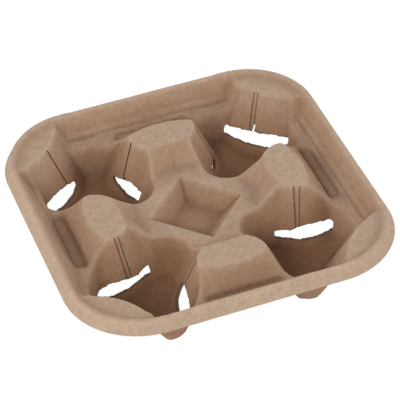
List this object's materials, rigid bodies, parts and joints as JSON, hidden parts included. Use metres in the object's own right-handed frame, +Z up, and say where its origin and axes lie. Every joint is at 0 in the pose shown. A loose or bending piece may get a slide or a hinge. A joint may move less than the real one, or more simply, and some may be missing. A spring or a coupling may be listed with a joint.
{
  "type": "cup carrier tray",
  "caption": "Square moulded pulp tray with a deep rim, open cup pockets gripped by slit flaps, saddles between them and a small middle pocket, for carrying drinking cups.",
  "frame": {"origin": "middle of the tray, on the surface it stands on", "axes": "+Z up, out of the cup pockets; X and Y along the straight sides"},
  "size_m": [0.21, 0.21, 0.0425],
  "materials": {
    "pulp": "matt, fibrous, plain brown"
  },
  "bodies": {
    "root": {"carrier_tray": "pulp"}
  },
  "joints": []
}
